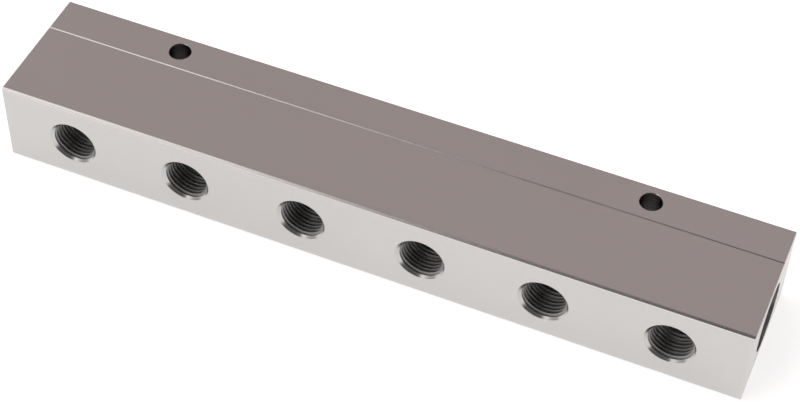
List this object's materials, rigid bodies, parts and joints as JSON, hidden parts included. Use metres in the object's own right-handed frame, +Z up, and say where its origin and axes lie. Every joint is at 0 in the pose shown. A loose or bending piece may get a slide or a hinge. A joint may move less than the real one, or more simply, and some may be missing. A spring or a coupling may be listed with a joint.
{
  "type": "air manifold block",
  "caption": "Rectangular aluminium air manifold bar with a row of tapped outlets along its front, a larger tapped inlet in each end and plain bolt holes down through its back edge.",
  "frame": {"origin": "middle of the underside", "axes": "+X along the bar, +Z up through the bolt holes, and the outlets face -Y"},
  "size_m": [0.155, 0.028, 0.019],
  "materials": {
    "anodised_aluminium": "natural silver extrusion with a fine satin grain along the bar, machined bright inside the holes"
  },
  "bodies": {
    "root": {"manifold_block": "anodised_aluminium"}
  },
  "joints": []
}
